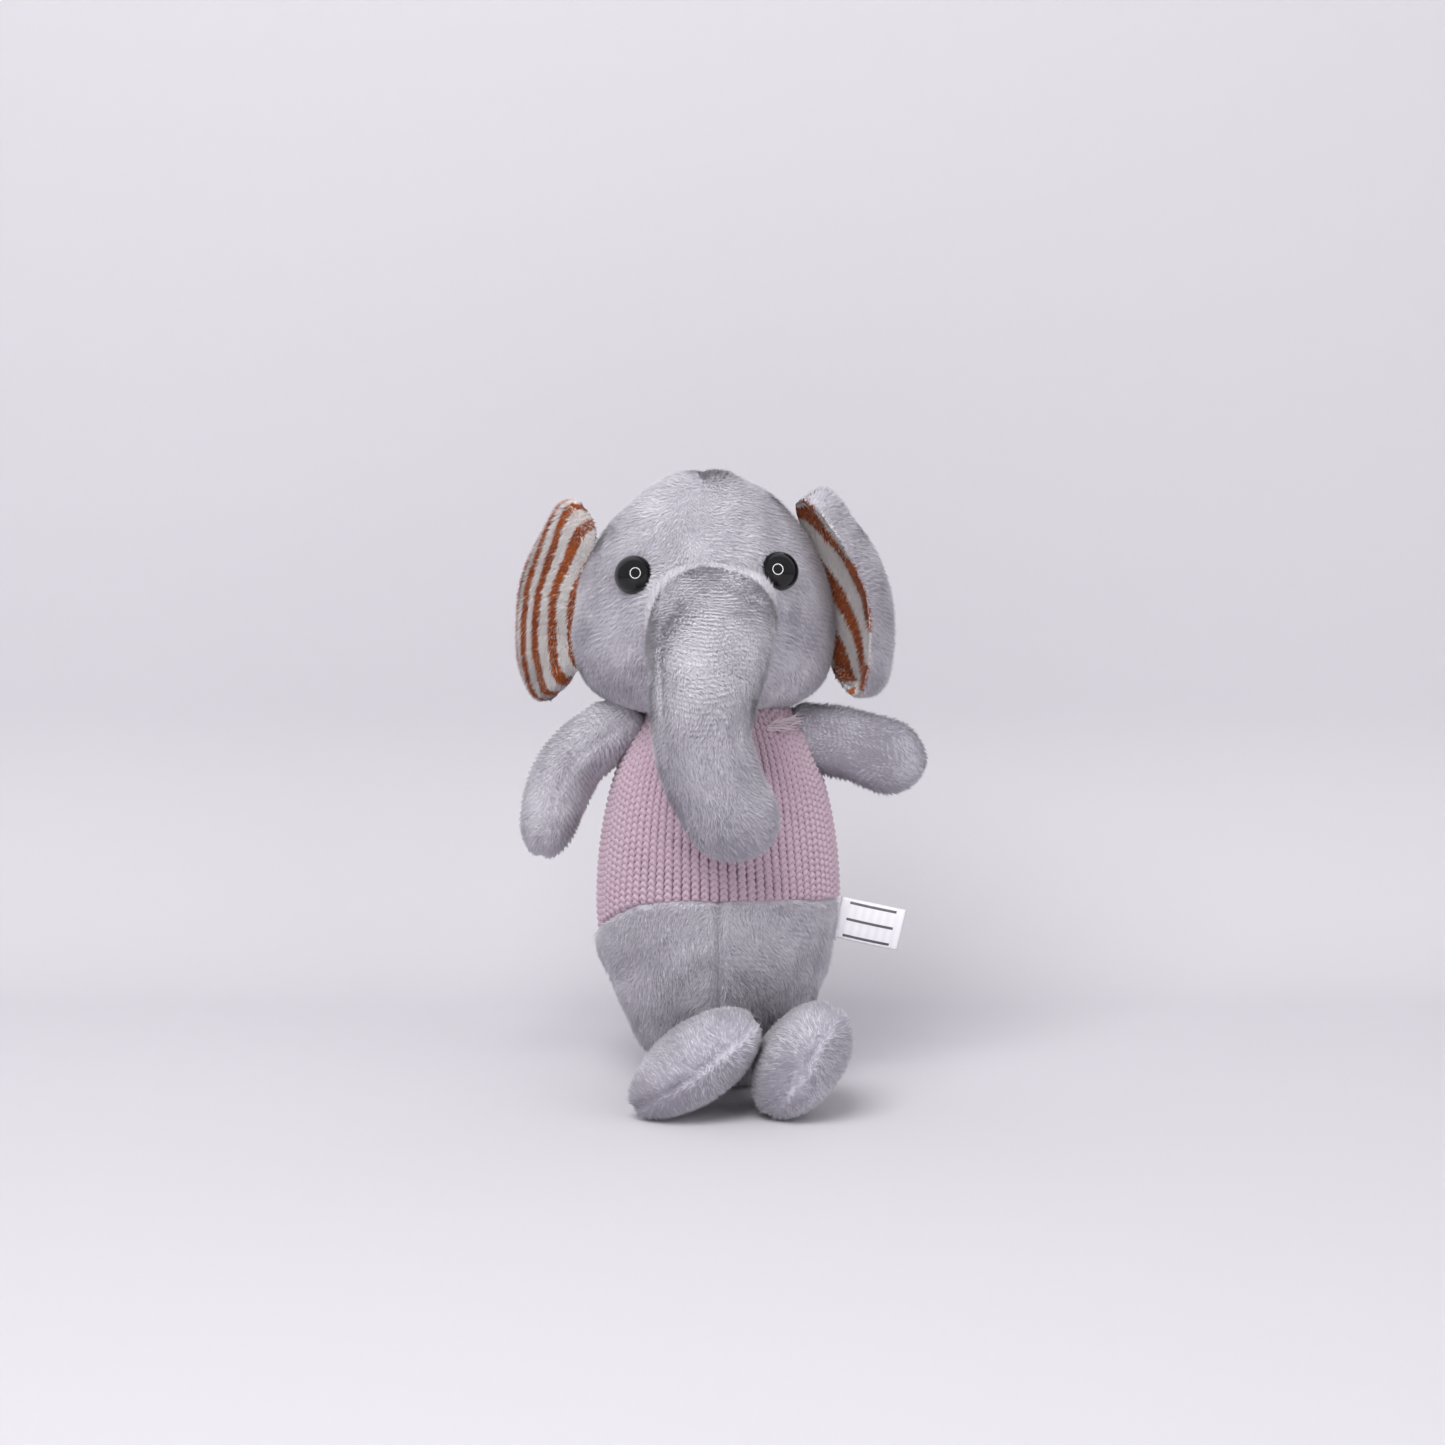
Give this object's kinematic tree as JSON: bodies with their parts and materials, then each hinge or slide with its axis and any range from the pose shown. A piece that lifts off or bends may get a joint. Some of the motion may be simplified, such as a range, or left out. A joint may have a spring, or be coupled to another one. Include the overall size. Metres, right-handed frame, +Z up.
{
  "type": "stuffed elephant",
  "caption": "Small sitting stuffed elephant with a long trunk, striped ear linings, ribbed knit torso and bean-shaped feet.",
  "frame": {"origin": "on the ground under the middle of the whole toy", "axes": "+Z up, the face looks along -Y, the elephant's own left is +X"},
  "size_m": [0.0982, 0.0808, 0.1454],
  "materials": {
    "grey_plush": "matte",
    "striped_plush": "matte",
    "pink_knit": "matte",
    "filling": "matte",
    "black_eye": "gloss",
    "white_washer": "matte",
    "white_ribbon": "satin"
  },
  "bodies": {
    "torso": {"knit_front_panel": "pink_knit", "knit_back_panel": "pink_knit", "seat_front_left_panel": "grey_plush", "seat_front_right_panel": "grey_plush", "seat_back_left_panel": "grey_plush", "seat_back_right_panel": "grey_plush", "torso_filling": "filling"},
    "neck": {"neck_filling": "filling"},
    "head": {"head_left_panel": "grey_plush", "head_right_panel": "grey_plush", "head_filling": "filling", "eye_left": "black_eye", "eye_right": "black_eye", "eye_washer_left": "white_washer", "eye_washer_right": "white_washer"},
    "trunk_upper": {"trunk_upper_front_panel": "grey_plush", "trunk_upper_under_panel": "grey_plush", "trunk_upper_filling": "filling"},
    "trunk_lower": {"trunk_lower_front_panel": "grey_plush", "trunk_lower_under_panel": "grey_plush", "trunk_lower_filling": "filling"},
    "ear_left": {"ear_left_lining": "striped_plush", "ear_left_back": "grey_plush"},
    "ear_right": {"ear_right_lining": "striped_plush", "ear_right_back": "grey_plush"},
    "arm_left": {"arm_left_front_panel": "grey_plush", "arm_left_back_panel": "grey_plush", "arm_left_filling": "filling"},
    "arm_right": {"arm_right_outer_panel": "grey_plush", "arm_right_inner_panel": "grey_plush", "arm_right_filling": "filling"},
    "leg_left": {"leg_left_upper_panel": "grey_plush", "leg_left_lower_panel": "grey_plush", "leg_left_filling": "filling"},
    "leg_right": {"leg_right_upper_panel": "grey_plush", "leg_right_lower_panel": "grey_plush", "leg_right_filling": "filling"},
    "label": {"side_label": "white_ribbon"}
  },
  "joints": [
    {"name": "neck_nod", "type": "hinge", "parent": "torso", "child": "neck", "pos_m": [-0.00131, 0.01203, 0.086], "axis": [1, 0, 0], "range_deg": [-10, 4], "stiffness_Nm_per_rad": 0.12},
    {"name": "neck_turn", "type": "hinge", "parent": "neck", "child": "head", "pos_m": [-0.00361, 0.01403, 0.088], "axis": [0, 0, 1], "range_deg": [-25, 25], "stiffness_Nm_per_rad": 0.08},
    {"name": "trunk_swing", "type": "hinge", "parent": "head", "child": "trunk_upper", "pos_m": [-0.00161, -0.01247, 0.127], "axis": [-1, 0, 0], "range_deg": [0, 35], "stiffness_Nm_per_rad": 0.03},
    {"name": "trunk_curl", "type": "hinge", "parent": "trunk_upper", "child": "trunk_lower", "pos_m": [-0.00381, -0.03057, 0.088], "axis": [-1, 0, 0], "range_deg": [0, 45], "stiffness_Nm_per_rad": 0.01},
    {"name": "ear_flap_left", "type": "hinge", "parent": "head", "child": "ear_left", "pos_m": [0.02869, 0.01583, 0.116], "axis": [0, 0, 1], "range_deg": [-8, 55], "stiffness_Nm_per_rad": 0.004},
    {"name": "ear_flap_right", "type": "hinge", "parent": "head", "child": "ear_right", "pos_m": [-0.03561, 0.01803, 0.114], "axis": [0, 0, 1], "range_deg": [-15, 40], "stiffness_Nm_per_rad": 0.004},
    {"name": "arm_swing_left", "type": "hinge", "parent": "torso", "child": "arm_left", "pos_m": [0.02439, 0.01003, 0.083], "axis": [0, -1, 0], "range_deg": [-21, 4], "stiffness_Nm_per_rad": 0.012},
    {"name": "arm_swing_right", "type": "hinge", "parent": "torso", "child": "arm_right", "pos_m": [-0.02621, 0.00953, 0.084], "axis": [0, 1, 0], "range_deg": [-4, 30], "stiffness_Nm_per_rad": 0.012},
    {"name": "leg_splay_left", "type": "hinge", "parent": "torso", "child": "leg_left", "pos_m": [0.01469, -0.01377, 0.0076], "axis": [0, 0, 1], "range_deg": [0, 25], "stiffness_Nm_per_rad": 0.03},
    {"name": "leg_splay_right", "type": "hinge", "parent": "torso", "child": "leg_right", "pos_m": [-0.00941, -0.01557, 0.0076], "axis": [0, 0, -1], "range_deg": [0, 25], "stiffness_Nm_per_rad": 0.03},
    {"name": "label_flap", "type": "hinge", "parent": "torso", "child": "label", "pos_m": [0.02889, 0.00703, 0.0393], "axis": [0.2251, 0, 0.9743], "range_deg": [-40, 40], "stiffness_Nm_per_rad": 0.00005}
  ]
}
